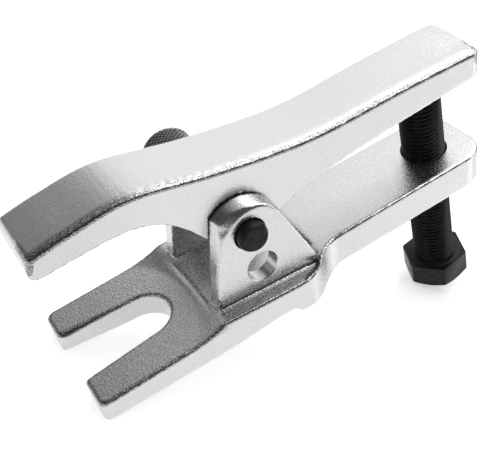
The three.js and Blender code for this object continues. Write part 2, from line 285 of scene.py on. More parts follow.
def ear_side(crown, crease):
    """An ear's outline: its rear edge is tangent to the crown, its front edge meets it at a crease."""
    crown_x, crown_z, radius = crown
    foot = CLEVIS_FLOOR_Z - EAR_ROOT
    dx = EAR_FOOT_REAR_X - crown_x
    dz = CLEVIS_FLOOR_Z - crown_z
    rear = math.degrees(math.atan2(dz, dx) + math.acos(radius / math.hypot(dx, dz)))
    over = arc(crown_x, crown_z, radius, rear, crease, 32)
    front = spline([(EAR_FOOT_FRONT_X, CLEVIS_FLOOR_Z), *EAR_FRONT, over[-1]])
    return [(EAR_FOOT_FRONT_X, foot), (EAR_FOOT_REAR_X, foot), (EAR_FOOT_REAR_X, CLEVIS_FLOOR_Z),
            *over, *reversed(front[:-1])]


def lever_side():
    """The nose droops over the fork, the hub dips between the ears, the tail runs over the bolt."""
    corner = 2.6
    tail_under, tail_top_z = LEVER_TAIL_Z
    nose = bezier([(LEVER_NOSE_X, LEVER_NOSE_Z + corner), (LEVER_NOSE_X, LEVER_NOSE_Z),
                   (LEVER_NOSE_X + corner, LEVER_NOSE_Z)], 8)
    under_nose = spline([nose[-1], (-45, 45.1), (-33, 46.1), (-25, 44.9), (-19, 41.8), (-14.5, 37.6)])
    hub = arc(0, PIN_HIGH_Z, HUB_RADIUS, 219, 300, 24)
    under_tail = spline([(14, 31.25), (24, 34.9), (38, 37.8), (55, 40.4), (LEVER_END_X, tail_under)])
    top = spline([(LEVER_END_X, tail_top_z), (60, 51.7), (31, 49.5), (14, 50.1), (-5, 52.2),
                  (-28, 55.8), (-45, 53.6), (LEVER_NOSE_X + 1.4, 51.2)])
    return nose + under_nose[1:] + hub + under_tail + top + [(LEVER_NOSE_X + 0.5, 50.2)]


def lever_middle(x):
    """Height half way between the lever's underside and its top."""
    return np.interp(x, [LEVER_NOSE_X, -45, -28, -10, 0, 14, 31, 60, LEVER_END_X],
                     [47, 49, 50.4, 43, 40, 40.5, 42.5, 46, 48.7])


def lever_plan():
    corner = LEVER_END_CORNER
    centre_x = LEVER_END_X - corner
    centre_y = LEVER_HALF_WIDTH - corner
    before = LEVER_NOSE_X - SPARE
    return [(before, -LEVER_HALF_WIDTH), *arc(centre_x, -centre_y, corner, -90, 0, 8),
            *arc(centre_x, centre_y, corner, 0, 90, 8), (before, LEVER_HALF_WIDTH)]


# ---------------------------------------------------------------- rounded solids on a grid


def outline_distance(outline, u, v):
    """Signed distance from each (u, v) to a closed outline, negative inside it."""
    points = np.asarray(outline, float)
    nearest = np.full(u.shape, np.inf)
    inside = np.zeros(u.shape, bool)
    for (u0, v0), (u1, v1) in zip(points, np.roll(points, -1, axis=0)):
        du = u1 - u0
        dv = v1 - v0
        if du == 0 and dv == 0:
            continue
        share = np.clip(((u - u0) * du + (v - v0) * dv) / (du * du + dv * dv), 0, 1)
        nearest = np.minimum(nearest, np.hypot(u - u0 - share * du, v - v0 - share * dv))
        if dv != 0:
            spans = (v0 > v) != (v1 > v)
            inside ^= spans & (u < u0 + (v - v0) * du / dv)
    return np.where(inside, -nearest, nearest)


def round_meet(a, b, radius):
    """Where two solids overlap, with the edge between them rounded."""
    corner = np.hypot(np.maximum(a + radius, 0), np.maximum(b + radius, 0))
    return np.minimum(np.maximum(a, b), -radius) + corner


def chamfer_meet(a, b, size):
    """Where two solids overlap, with the edge between them chamfered."""
    return np.maximum(np.maximum(a, b), (a + b + size) / math.sqrt(2))


def oval_meet(a, b, depth_a, depth_b):
    """Where two solids overlap, with the edge a quarter ellipse that starts depth_a under a's surface
    and depth_b under b's."""
    p = np.maximum(a / depth_a + 1, 0)
    q = np.maximum(b / depth_b + 1, 0)
    reach = np.hypot(p, q)
    slope = np.maximum(np.hypot(p / depth_a, q / depth_b), 1e-9)
    return np.where((p > 0) & (q > 0), (reach - 1) * reach / slope, np.maximum(a, b))


def round_join(a, b, radius):
    """Two solids as one, with a fillet in the corner between them."""
    corner = np.hypot(np.maximum(radius - a, 0), np.maximum(radius - b, 0))
    return np.maximum(np.minimum(a, b), radius) - corner


class Grid:
    """A box of sample points, and the surface of a solid drawn on them as signed distances."""

    def __init__(self, low, high, step):
        self.low = np.array(low, float)
        self.step = step
        axes = [np.arange(a, b + step, step) for a, b in zip(low, high)]
        self.x = axes[0][:, None, None]
        self.y = axes[1][None, :, None]
        self.z = axes[2][None, None, :]

    def across_y(self, outline):
        """An outline in X and Z, pushed along Y without end."""
        u, v = np.meshgrid(self.x.ravel(), self.z.ravel(), indexing="ij")
        return outline_distance(outline, u, v)[:, None, :]

    def sample_side(self, outline, height):
        """The same, read at other heights: height holds one for each sample point."""
        flat = self.across_y(outline)[:, 0, :]
        place = (height - self.low[2]) / self.step
        base = np.clip(np.floor(place).astype(int), 0, flat.shape[1] - 2)
        part = place - base
        row = np.arange(flat.shape[0])[:, None, None]
        return flat[row, base] * (1 - part) + flat[row, base + 1] * part

    def along_z(self, outline):
        """An outline in X and Y, pushed along Z without end."""
        u, v = np.meshgrid(self.x.ravel(), self.y.ravel(), indexing="ij")
        return outline_distance(outline, u, v)[:, :, None]

    def sample(self, values, points):
        """Values at any points, blended from the eight samples around each."""
        place = (points - self.low) / self.step
        base = np.clip(np.floor(place).astype(int), 0, np.array(values.shape) - 2)
        part = place - base
        total = np.zeros(len(points))
        for corner in np.ndindex(2, 2, 2):
            weight = np.prod(np.where(corner, part, 1 - part), axis=1)
            at = base + corner
            total += weight * values[at[:, 0], at[:, 1], at[:, 2]]
        return total

    def bend(self, distance, points):
        """How sharply the surface turns, per millimetre: positive on edges, negative in fillets."""
        gradient = np.gradient(distance, self.step)
        length = np.maximum(np.sqrt(sum(g * g for g in gradient)), 1e-6)
        turning = sum(np.gradient(g / length, self.step, axis=axis) for axis, g in enumerate(gradient))
        return self.sample(turning, points)

    def surface(self, distance):
        """Points and four-sided faces of the closed surface at distance 0 (surface nets)."""
        inside = distance < 0
        cells = tuple(n - 1 for n in distance.shape)
        total = np.zeros(cells + (3,))
        count = np.zeros(cells)
        crossings = []
        for axis in range(3):
            first = [slice(None)] * 3
            second = [slice(None)] * 3
            first[axis] = slice(None, -1)
            second[axis] = slice(1, None)
            near = distance[tuple(first)]
            far = distance[tuple(second)]
            edges = np.argwhere(inside[tuple(first)] != inside[tuple(second)])
            near_value = near[tuple(edges.T)]
            share = near_value / (near_value - far[tuple(edges.T)])
            place = edges.astype(float)
            place[:, axis] += share
            b, c = [other for other in range(3) if other != axis]
            around = []
            for back_b, back_c in ((0, 0), (1, 0), (1, 1), (0, 1)):
                cell = edges.copy()
                cell[:, b] -= back_b
                cell[:, c] -= back_c
                np.add.at(total, tuple(cell.T), place)
                np.add.at(count, tuple(cell.T), 1)
                around.append(cell)
            crossings.append((axis, np.stack(around, 1), near_value < 0))
        used = count > 0
        number = np.full(cells, -1)
        number[used] = np.arange(used.sum())
        points = self.low + self.step * total[used] / count[used][:, None]
        faces = []
        for axis, around, leaving in crossings:
            quads = number[tuple(np.moveaxis(around, 2, 0))]
            if axis == 1:
                leaving = ~leaving
            quads[leaving] = quads[leaving][:, ::-1]
            faces.append(quads)
        return points, np.concatenate(faces)


# ---------------------------------------------------------------- meshes


def mesh_object(name, points, faces, smooth_degrees=40):
    """A mesh object from points and faces, with edges sharper than smooth_degrees kept crisp."""
    mesh = bpy.data.meshes.new(name)
    corners = [tuple(int(i) for i in face) for face in faces]
    mesh.from_pydata([tuple(point) for point in points], [], corners)
    mesh.update()
    piece = bpy.data.objects.new(name, mesh)
    bpy.context.scene.collection.objects.link(piece)
    tidy_mesh(piece, smooth_degrees)
    return piece


def tidy_mesh(piece, smooth_degrees=40, merge=1e-5):
    work = bmesh.new()
    work.from_mesh(piece.data)
    bmesh.ops.remove_doubles(work, verts=work.verts, dist=merge)
    bmesh.ops.dissolve_degenerate(work, edges=work.edges, dist=merge)
    bmesh.ops.recalc_face_normals(work, faces=work.faces)
    work.to_mesh(piece.data)
    work.free()
    piece.data.shade_smooth()
    piece.data.set_sharp_from_angle(angle=math.radians(smooth_degrees))


def turned(name, profile, sides=ROUND_SIDES, axis="Z"):
    """A turned solid: each profile point is (radius, distance along the axis), closed at both ends."""
    points = []
    faces = []
    rings = []
    for radius, along in profile:
        if radius == 0:
            rings.append([len(points)])
            points.append((0, 0, along))
            continue
        rings.append(list(range(len(points), len(points) + sides)))
        for i in range(sides):
            angle = 2 * math.pi * i / sides
            points.append((radius * math.cos(angle), radius * math.sin(angle), along))
    for low, high in zip(rings, rings[1:]):
        for i in range(sides):
            j = (i + 1) % sides
            corners = [low[i % len(low)], low[j % len(low)], high[j % len(high)], high[i % len(high)]]
            faces.append(list(dict.fromkeys(corners)))
    if axis == "Y":
        points = [(-x, z, y) for x, y, z in points]
    return mesh_object(name, points, [face for face in faces if len(face) > 2])


def ring_faces(rings, around):
    """Four-sided faces from each ring of points to the next; a ring is given by its first point."""
    faces = []
    for first, second in zip(rings, rings[1:]):
        for i in range(around):
            j = (i + 1) % around
            faces.append((first + i, first + j, second + j, second + i))
    return faces


def rounded_profile(profile, radius, steps=3):
    """The profile with each inner corner rounded by radius, or by less where its sides are short."""
    most = 0.45  # share of a side that one corner may take
    route = [profile[0]]
    for before, corner, after in zip(profile, profile[1:], profile[2:]):
        here = Vector(corner)
        back = Vector(before) - here
        on = Vector(after) - here
        reach = min(radius, most * back.length, most * on.length)
        start = here + back.normalized() * reach
        end = here + on.normalized() * reach
        route += bezier([tuple(start), tuple(here), tuple(end)], steps)
    return route + [profile[-1]]


def combine(piece, *steps):
    """Changes the piece by other solids, one after another, and removes them: each step is one of
    DIFFERENCE, UNION or INTERSECT and the other solid."""
    for operation, other in steps:
        change = piece.modifiers.new("combine", "BOOLEAN")
        change.operation = operation
        change.solver = "MANIFOLD"
        change.object = other
    bpy.context.view_layer.update()
    solid = piece.evaluated_get(bpy.context.evaluated_depsgraph_get())
    result = bpy.data.meshes.new_from_object(solid)
    piece.modifiers.clear()
    piece.data = result
    for _, other in steps:
        bpy.data.objects.remove(other)


def cut(piece, *tools):
    combine(piece, *[("DIFFERENCE", tool) for tool in tools])


def place(piece, matrix, body, node, slot, material):
    """Lays a piece into the row frame, gives it its material, hands it to its body and hides the CAD part
    that it replaces.
    """
    piece.data.transform(matrix)
    piece.data.materials.clear()
    piece.data.materials.append(material)
    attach(piece, body)
    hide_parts(node)
    return piece


def store(piece, name, values):
    """One number for each vertex, for the piece's material to read."""
    layer = piece.data.attributes.new(name, "FLOAT", "POINT")
    layer.data.foreach_set("value", values.astype(np.float32))


def vertex_array(piece):
    flat = np.zeros(len(piece.data.vertices) * 3)
    piece.data.vertices.foreach_get("co", flat)
    return flat.reshape(-1, 3)


# ---------------------------------------------------------------- forgings


def bore_cutter(x, z, radius, chamfer, faces_y):
    """A cutter along Y with a small chamfer at each of the faces that it comes out of."""
    profile = [(0, -CUTTER_REACH), (radius, -CUTTER_REACH)]
    for y in faces_y:
        profile += [(radius, y - chamfer), (radius + chamfer, y), (radius, y + chamfer)]
    profile += [(radius, CUTTER_REACH), (0, CUTTER_REACH)]
    cutter = turned("cutter", profile, axis="Y")
    cutter.data.transform(Matrix.Translation((x, 0, z)))
    return cutter


def tapped_hole_cutter():
    """The tail's tapped hole, chamfered at both faces, with the thread's grooves in its wall."""
    chamfer = 0.5
    past = 4
    groove_depth = 0.5
    groove_half = 0.35
    below = -TAIL_THICKNESS
    wide = TAPPED_RADIUS + past + chamfer
    profile = [(0, below - past), (wide, below - past), (TAPPED_RADIUS, below + chamfer)]
    turns = int((TAIL_THICKNESS - 2 * chamfer) / THREAD_PITCH)
    for i in range(turns):
        along = below + chamfer + THREAD_PITCH * (i + 0.5)
        profile += [(TAPPED_RADIUS, along - groove_half), (TAPPED_RADIUS + groove_depth, along),
                    (TAPPED_RADIUS, along + groove_half)]
    profile += [(TAPPED_RADIUS, -chamfer), (wide, past), (0, past)]
    cutter = turned("cutter", profile)
    cutter.data.transform(Matrix.Rotation(-TAIL_SLOPE, 4, "Y"))
    cutter.data.transform(Matrix.Translation((BOLT_X, 0, tail_top(BOLT_X))))
    return cutter


def fork_top(x):
    """Height of the fork's top, which climbs from its tips to its root."""
    return FORK_TIP_TOP_Z + (x - FORK_TIP_X) * FORK_RISE


def fork_step(grid):
    """Everything under the fork's top or under the slope up from it. The slope's foot is an arc and its
    crest is straight, so that it is steep in the middle and gentle at the sides."""
    under = (grid.z - fork_top(grid.x)) / math.hypot(1, FORK_RISE)
    foot = STEP_ARC_X + np.sqrt(STEP_ARC_RADIUS ** 2 - grid.y ** 2)
    run = CLEVIS_FRONT_X - foot
    height = CLEVIS_FLOOR_Z - FORK_ROOT_TOP_Z
    slope = ((grid.z - FORK_ROOT_TOP_Z) * run - (grid.x - foot) * height) / np.hypot(run, height)
    return round_join(under, slope, STEP_FILLET)


def ears_distance(grid):
    """Both ears; the front of each crown has a chamfered outer edge, the other edges are crisp."""
    inner = grid.across_y(ear_side(EAR_INNER_CROWN, EAR_INNER_CREASE))
    outer = grid.across_y(ear_side(EAR_OUTER_CROWN, EAR_OUTER_CREASE))
    out = np.abs(grid.y)
    share = np.clip((out - EAR_INNER_Y) / (EAR_OUTER_Y - EAR_INNER_Y), 0, 1)
    crown_front = np.interp(grid.z, [32.5, 36.5], [0, 1]) * np.interp(grid.x, [-5, 5], [1, 0])
    chamfer = EAR_CHAMFER + (CROWN_CHAMFER - EAR_CHAMFER) * crown_front
    ears = chamfer_meet(inner * (1 - share) + outer * share, out - EAR_OUTER_Y, chamfer)
    return round_meet(ears, EAR_INNER_Y - out, EAR_INNER_EDGE)


def fork_body_distance(grid):
    """The body's side view, with the pocket, the fork's step and slot and its plan cut from it one
    after another, and the ears joined to it."""
    beside_pocket = -grid.along_z(pocket_plan())
    kept = round_join(beside_pocket, grid.z - CLEVIS_FLOOR_Z, POCKET_FILLET)
    block = round_meet(grid.across_y(body_side()), kept, TOP_EDGE)
    block = round_meet(block, fork_step(grid), STEP_EDGE)
    plan_edge = np.interp(grid.x, [CLEVIS_FRONT_X - 2, CLEVIS_FRONT_X], [FORK_PLAN_EDGE, PLAN_EDGE])
    block = round_meet(block, grid.along_z(body_plan()), plan_edge)
    far_tip = np.interp(grid.x, [FORK_TIP_X, -36], [1, 0]) * np.interp(grid.y, [0, 4], [0, 1])
    slot_edge = SLOT_EDGE + (SLOT_TIP_EDGE - SLOT_EDGE) * far_tip
    block = round_meet(block, -grid.along_z(fork_slot()), slot_edge)
    fillet = np.interp(np.abs(grid.y), [EAR_OUTER_Y - 3, EAR_OUTER_Y - 2],
                       [EAR_INNER_FILLET, EAR_OUTER_FILLET])
    return round_join(block, ears_distance(grid), fillet)


def lever_upper(x, z):
    """1 in the lever's upper half and 0 in its lower half, blended over 2 mm at the middle."""
    return np.clip((z - lever_middle(x)) / 2 + 0.5, 0, 1)


def lever_distance(grid):
    """The top edges are dressed wide, the near one widest; the lower edges are only eased. The top
    leans a little across the lever, one way in the middle and the other way at the tail."""
    upper = lever_upper(grid.x, grid.z)
    lean = np.interp(grid.x, [-40, -20, 35, 80], [-0.3, -0.8, -0.8, 0.6])
    lifted = grid.z - upper * lean * np.interp(grid.y, [-5, LEVER_HALF_WIDTH], [0, 1])
    side = grid.sample_side(lever_side(), lifted)
    near = np.interp(grid.y, [-8, 0], [1, 0])
    nose = np.interp(grid.x, [-36, -22], [1, 0])
    eased = 0.45
    down = eased + upper * (0.25 + (0.3 + 0.35 * nose) * near)
    inward = eased + upper * (0.7 + (3.0 - 1.4 * nose) * near)
    return oval_meet(side, grid.along_z(lever_plan()), down, inward)


def body_blast(points):
    """How coarse the blasting is: full on the fork's top, fine on its sides and behind the step."""
    fine = 0.12
    top = np.interp(points[:, 2] - fork_top(points[:, 0]), [-0.9, -0.3], [0, 1])
    fork = np.interp(points[:, 0], [CLEVIS_FRONT_X - 1, CLEVIS_FRONT_X + 2], [1, 0.15])
    return fine + (1 - fine) * top * fork


def lever_blast(points):
    """How coarse the blasting is: coarser on the nose."""
    return np.interp(points[:, 0], [-45, -20], [0.5, 0.1])


def body_edge_shade(points):
    """How strongly edges and tight corners get painted shade: most around the top, hardly at all on the
    ears and below.
    """
    top = np.interp(points[:, 2] - fork_top(points[:, 0]), [-1.4, -0.7], [0.1, 1])
    return top * np.interp(points[:, 2], [CLEVIS_FLOOR_Z + 2, CLEVIS_FLOOR_Z + 4], [0.5, 0.12])


def lever_edge_shade(points):
    """How strongly edges and tight corners get painted shade: most on the near top edge."""
    least = 0.08
    near = np.interp(points[:, 1], [-6, -2], [1, 0])
    return least + (1 - least) * near * lever_upper(points[:, 0], points[:, 2])


def forging(name, box, distance_of, blast_of, edge_shade_of, cutters, body, material):
    """A forging from its signed distances, with its holes cut crisp afterwards. box holds its lowest
    and its highest corner."""
    low, high = box
    grid = Grid([a - GRID_MARGIN for a in low], [b + GRID_MARGIN for b in high], FORGING_STEP)
    distance = distance_of(grid)
    piece = mesh_object(name, *grid.surface(distance), smooth_degrees=50)
    cut(piece, *cutters)
    tidy_mesh(piece, smooth_degrees=35, merge=WELD)
    points = vertex_array(piece)
    # the curvature is weighted by how much painted shade each edge and corner gets
    store(piece, "bend", grid.bend(distance, points) * edge_shade_of(points))
    store(piece, "blast", blast_of(points))
    return place(piece, TOOL, body, name, "satin_chrome", material)


def fork_body(material):
    faces = [-EAR_OUTER_Y, -EAR_INNER_Y, EAR_INNER_Y, EAR_OUTER_Y]
    cutters = [
        bore_cutter(0, PIN_HIGH_Z, BORE_RADIUS, BORE_CHAMFER, faces),
        bore_cutter(PIN_LOW_X, PIN_LOW_Z, BORE_RADIUS, BORE_CHAMFER, faces),
        tapped_hole_cutter(),
    ]
    crown_z, crown_radius = EAR_INNER_CROWN[1:]
    box = ((FORK_TIP_X, -FORK_HALF_WIDTH, FORK_TIP_UNDER_Z),
           (TAIL_END_X, FORK_HALF_WIDTH, crown_z + crown_radius))
    return forging("fork_body", box, fork_body_distance, body_blast, body_edge_shade, cutters, "body", material)


def press_lever(material):
    faces = [-LEVER_HALF_WIDTH, LEVER_HALF_WIDTH]
    cutters = [bore_cutter(0, PIN_HIGH_Z, BORE_RADIUS, LEVER_BORE_CHAMFER, faces)]
    box = ((LEVER_NOSE_X, -LEVER_HALF_WIDTH, PIN_HIGH_Z - HUB_RADIUS),
           (LEVER_END_X, LEVER_HALF_WIDTH, LEVER_HIGHEST_Z))
    return forging("press_lever", box, lever_distance, lever_blast, lever_edge_shade, cutters, "lever", material)


# ---------------------------------------------------------------- cross pin


def pivot_pin(material):
    chamfer_in = 0.8
    chamfer_along = 1.2
    edge = 0.25
    profile = [(0, PIN_NEAR_END_Y), (PIN_RADIUS - chamfer_in, PIN_NEAR_END_Y),
               (PIN_RADIUS, PIN_NEAR_END_Y + chamfer_along), (PIN_RADIUS, COLLAR_Y[0]),
               (COLLAR_RADIUS, COLLAR_Y[0]), (COLLAR_RADIUS, COLLAR_Y[1]),
               (STEM_RADIUS, COLLAR_Y[1]), (STEM_RADIUS, STEM_END_Y), (0, STEM_END_Y)]
    pin = turned("pivot_pin", rounded_profile(profile, edge), axis="Y")
    mouth = -PIN_RADIUS - 1
    bore = turned("cutter", [(0, mouth), (DETENT_BORE_RADIUS, mouth),
                             (DETENT_BORE_RADIUS, DETENT_BORE_TOP_Z), (0, DETENT_BORE_TOP_Z)], 32)
    bore.data.transform(Matrix.Translation((0, DETENT_Y, 0)))
    cut(pin, bore)
    tidy_mesh(pin, smooth_degrees=35, merge=WELD)
    return place(pin, PIN, "pin", "pivot_pin", "black_oxide", material)


def pin_knob(material):
    """A drum with a diamond knurl between plain, chamfered ends, dished at its far end."""
    around = 288
    pitch = 1.6
    depth = 0.5
    fade_over = 0.5
    plain = 0.8  # height of each plain end
    row_height = 0.2
    gap = 0.3  # around the stem and past its end
    bore_radius = STEM_RADIUS + gap
    low, high = KNOB_Y
    dish = high - 0.35
    bore_end = STEM_END_Y + gap
    rows = np.arange(low + plain, high - plain + 0.01, row_height)
    teeth = round(2 * math.pi * KNOB_RADIUS / pitch)
    points = []
    rings = []

    def ring(radius_of, along):
        rings.append(len(points))
        for i in range(around):
            angle = 2 * math.pi * i / around
            radius = radius_of(angle)
            points.append((-radius * math.cos(angle), along, radius * math.sin(angle)))

    def knurl(angle, along):
        turn = teeth * angle / (2 * math.pi)
        rise = along / pitch
        wave_a = abs(2 * ((turn + rise) % 1) - 1)
        wave_b = abs(2 * ((turn - rise) % 1) - 1)
        fade = min(1, (along - rows[0]) / fade_over, (rows[-1] - along) / fade_over)
        return KNOB_RADIUS - depth * max(fade, 0) * (1 - min(wave_a, wave_b) ** 0.8)

    for radius, along in ((bore_radius, bore_end), (bore_radius, low), (KNOB_RADIUS - 0.6, low),
                          (KNOB_RADIUS - 0.1, low + 0.5), (KNOB_RADIUS, low + 0.7)):
        ring(lambda angle, r=radius: r, along)
    for along in rows:
        ring(lambda angle, y=along: knurl(angle, y), along)
    for radius, along in ((KNOB_RADIUS, high - 0.7), (KNOB_RADIUS - 0.1, high - 0.5),
                          (KNOB_RADIUS - 0.6, high), (6.2, high), (5.9, dish)):
        ring(lambda angle, r=radius: r, along)
    faces = ring_faces(rings, around)
    # the dish's floor and the end of the blind bore that the pin's stem fills
    dish_centre = len(points)
    bore_centre = dish_centre + 1
    points += [(0, dish, 0), (0, bore_end, 0)]
    for i in range(around):
        j = (i + 1) % around
        faces.append((rings[-1] + i, rings[-1] + j, dish_centre))
        faces.append((rings[0] + j, rings[0] + i, bore_centre))
    knob = mesh_object("pin_knob", points, faces, 30)
    spots = vertex_array(knob)
    store(knob, "knurl", (np.hypot(spots[:, 0], spots[:, 2]) - KNOB_RADIUS) / depth)
    return place(knob, PIN, "pin", "pin_knob", "knurled_steel", material)


def ball(name, radius, centre):
    """A ball from a subdivided cube, so that it has no poles."""
    work = bmesh.new()
    bmesh.ops.create_cube(work, size=2)
    bmesh.ops.subdivide_edges(work, edges=work.edges, cuts=11, use_grid_fill=True)
    for vert in work.verts:
        vert.co = Vector(centre) + vert.co.normalized() * radius
    mesh = bpy.data.meshes.new(name)
    work.to_mesh(mesh)
    work.free()
    piece = bpy.data.objects.new(name, mesh)
    bpy.context.scene.collection.objects.link(piece)
    tidy_mesh(piece)
    return piece


def detent_ball(material):
    piece = ball("detent_ball", DETENT_RADIUS, (0, DETENT_Y, DETENT_BALL_Z))
    return place(piece, PIN, "detent", "detent_ball", "bright_steel", material)


def detent_spring(material):
    """A helix of wire between the ball and the blind end of its bore."""
    turns = 4
    wire = 0.16  # radius of the wire
    coil = 0.85  # radius of the coil
    ball_gap = 0.25
    end_gap = 0.3
    low = DETENT_BALL_Z + DETENT_RADIUS + ball_gap
    high = DETENT_BORE_TOP_Z - end_gap - wire
    sides = 10
    steps = turns * 28
    points = []
    for step in range(steps + 1):
        t = step / steps
        angle = 2 * math.pi * turns * t
        out = Vector((math.cos(angle), math.sin(angle), 0))
        centre = out * coil + Vector((0, DETENT_Y, low + (high - low) * t))
        for side in range(sides):
            turn = 2 * math.pi * side / sides
            points.append(centre + out * wire * math.cos(turn) + Vector((0, 0, wire * math.sin(turn))))
    rings = [step * sides for step in range(steps + 1)]
    ends = [[ring + side for side in range(sides)] for ring in (rings[0], rings[-1])]
    piece = mesh_object("detent_spring", points, ends + ring_faces(rings, sides))
    return place(piece, PIN, "pin", "detent_spring", "bright_steel", material)


# ---------------------------------------------------------------- forcing bolt


def thread_radius(turn):
    """Radius across one pitch of the thread, where turn is 0 at a crest and 1 at the next."""
    crest_flat = 0.14
    flank = 0.62
    from_crest = 1 - abs(2 * (turn % 1) - 1)
    depth = min(max((from_crest - crest_flat) / flank, 0), 1)
    return CREST_RADIUS - (CREST_RADIUS - ROOT_RADIUS) * depth


def shank(low, high, chamfer, tip_dish):
    """The threaded shank, closed at its foot and dished at its tip around the thrust ball."""
    around = 72
    rows_per_pitch = 10
    rows = round((high - low) * rows_per_pitch / THREAD_PITCH)
    points = []
    rings = []

    def ring(radius_of, along):
        rings.append(len(points))
        for i in range(around):
            angle = 2 * math.pi * i / around
            radius = radius_of(i / around)
            points.append((radius * math.cos(angle), radius * math.sin(angle), along))

    for along in np.linspace(low, high, rows + 1):
        trimmed = CREST_RADIUS - chamfer + (high - along)
        ring(lambda part, z=along, most=trimmed: min(thread_radius(z / THREAD_PITCH - part), most), along)
    for radius, along in tip_dish:
        ring(lambda part, r=radius: r, along)
    faces = ring_faces(rings, around)
    foot_centre = len(points)
    dish_centre = foot_centre + 1
    points += [(0, 0, low), (0, 0, tip_dish[-1][1])]
    for i in range(around):
        j = (i + 1) % around
        faces.append((rings[0] + j, rings[0] + i, foot_centre))
        faces.append((rings[-1] + i, rings[-1] + j, dish_centre))
    return mesh_object("shank", points, faces, 60)


def hexagon_head():
    """A hexagon head: corners trimmed by a cone at the end, a washer face at the bearing side."""
    corner_radius = HEAD_ACROSS_FLATS / math.sqrt(3)
    end = HEAD_BEARING_Z - HEAD_HEIGHT
    cone = math.tan(math.radians(30))
    past = corner_radius + 2
    above = HEAD_BEARING_Z + 3
    profile = [(0, end), (HEAD_FACE_RADIUS, end), (past, end + (past - HEAD_FACE_RADIUS) * cone),
               (past, above), (0, above)]
    trim = turned("trim", rounded_profile(profile, HEAD_EDGE), 144)
    # one side of the hexagon, short of its corners by the bevel, turned six times
    outline = []
    for k in range(6):
        middle = HEAD_TURN + math.radians(60 * k)
        outward = Vector((math.cos(middle), math.sin(middle)))
        along = Vector((-outward.y, outward.x))
        reach = corner_radius / 2 - HEAD_CORNER_BEVEL
        flat = outward * HEAD_ACROSS_FLATS / 2
        outline += [flat - along * reach, flat + along * reach]
    under_washer = HEAD_BEARING_Z - WASHER_HEIGHT
    points = [(p.x, p.y, z) for z in (end - 1, under_washer) for p in outline]
    count = len(outline)
    ends = [tuple(range(count))[::-1], tuple(range(count, 2 * count))]
    head = mesh_object("head", points, ends + ring_faces([0, count], count), 20)
    face_profile = [(0, under_washer - 0.5), (WASHER_RADIUS, under_washer - 0.5),
                    (WASHER_RADIUS, HEAD_BEARING_Z - 0.05), (WASHER_RADIUS - 0.1, HEAD_BEARING_Z),
                    (0, HEAD_BEARING_Z)]
    combine(head, ("INTERSECT", trim), ("UNION", turned("washer_face", face_profile)))
    return head


def forcing_bolt(material):
    dish = [(5.2, 0), (3.6, 0), (3.4, 0.3), (3.5, 2), (2.2, 4.7)]  # radius and depth, around the ball
    tip_dish = [(radius, BOLT_TIP_Z - depth) for radius, depth in dish]
    into_head = 0.4
    tip_chamfer = 1.45
    rod = shank(HEAD_BEARING_Z - into_head, BOLT_TIP_Z, tip_chamfer, tip_dish)
    combine(rod, ("UNION", hexagon_head()))
    rod.name = "forcing_bolt"
    tidy_mesh(rod, smooth_degrees=32, merge=WELD)
    return place(rod, BOLT, "bolt", "forcing_bolt", "black_oxide", material)


def thrust_ball(material):
    piece = ball("thrust_ball", THRUST_BALL_RADIUS, (0, 0, THRUST_BALL_Z))
    return place(piece, BOLT, "thrust", "thrust_ball", "bright_steel", material)


# ---------------------------------------------------------------- materials


class Nodes:
    """A material's node tree, with short calls to add and link its nodes."""

    def __init__(self, name):
        self.material = bpy.data.materials.new(name)
        self.material.use_nodes = True
        self.tree = self.material.node_tree
        self.shader = self.tree.nodes["Principled BSDF"]
        self.place = self.add("ShaderNodeTexCoord").outputs["Object"]

    def add(self, kind, **settings):
        node = self.tree.nodes.new(kind)
        for key, value in settings.items():
            if hasattr(node, key):
                setattr(node, key, value)
            else:
                node.inputs[key].default_value = value
        return node

    def link(self, source, target):
        self.tree.links.new(source, target)

    def attribute(self, name):
        return self.add("ShaderNodeAttribute", attribute_name=name).outputs["Fac"]

    def noise(self, size_mm, detail=2.0, roughness=0.5):
        """Noise whose features are about size_mm across, from 0 to 1."""
        node = self.add("ShaderNodeTexNoise")
        node.inputs["Scale"].default_value = 1 / (size_mm * MM)
        node.inputs["Detail"].default_value = detail
        node.inputs["Roughness"].default_value = roughness
        self.link(self.place, node.inputs["Vector"])
        return node.outputs["Fac"]

    def ramp(self, value, low, high, start=0.0, end=1.0):
        """value taken from low..high to start..end, held at both ends."""
        node = self.add("ShaderNodeMapRange", clamp=True)
        for key, number in (("From Min", low), ("From Max", high), ("To Min", start), ("To Max", end)):
            node.inputs[key].default_value = number
        self.link(value, node.inputs["Value"])
        return node.outputs["Result"]

    def math(self, operation, a, b):
        node = self.add("ShaderNodeMath", operation=operation)
        for socket, value in zip(node.inputs, (a, b)):
            if isinstance(value, (int, float)):
                socket.default_value = value
            else:
                self.link(value, socket)
        return node.outputs[0]

    def mix_colour(self, share, a, b):
        node = self.add("ShaderNodeMix", data_type="RGBA")
        self.link(share, node.inputs["Factor"])
        for socket, colour in ((node.inputs["A"], a), (node.inputs["B"], b)):
            if isinstance(colour, tuple):
                socket.default_value = (*colour, 1)
            else:
                self.link(colour, socket)
        return node.outputs["Result"]

    def bump(self, height, strength, distance_mm, after=None):
        node = self.add("ShaderNodeBump")
        node.inputs["Strength"].default_value = strength
        node.inputs["Distance"].default_value = distance_mm * MM
        self.link(height, node.inputs["Height"])
        if after:
            self.link(after, node.inputs["Normal"])
        return node.outputs["Normal"]


def grey(level):
    return (level, level, level)


